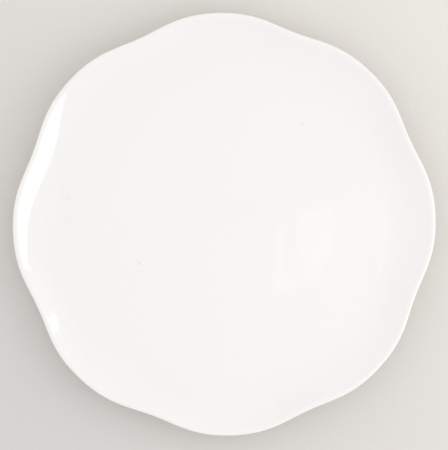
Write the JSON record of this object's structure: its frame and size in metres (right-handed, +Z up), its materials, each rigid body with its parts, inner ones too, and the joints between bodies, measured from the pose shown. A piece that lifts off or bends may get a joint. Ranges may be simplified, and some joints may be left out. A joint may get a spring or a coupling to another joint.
{
  "type": "salad plate",
  "caption": "White glazed porcelain coupe salad plate with a softly lobed edge, a flat floor, a gently rising border and a foot ring with a bare tread.",
  "frame": {"origin": "centre of the foot ring's tread, on the surface that the plate stands on", "axes": "+Z up, square to the floor of the plate; +X towards one crest of the lobed edge, and +Y towards another"},
  "size_m": [0.21, 0.21, 0.015],
  "materials": {
    "bisque": "bare fired porcelain, fine and matt",
    "face_glaze": "white high gloss glaze",
    "well_glaze": "white gloss glaze"
  },
  "bodies": {
    "root": {"porcelain_body": "bisque", "glaze_coat": "face_glaze", "foot_well_glaze": "well_glaze"}
  },
  "joints": []
}
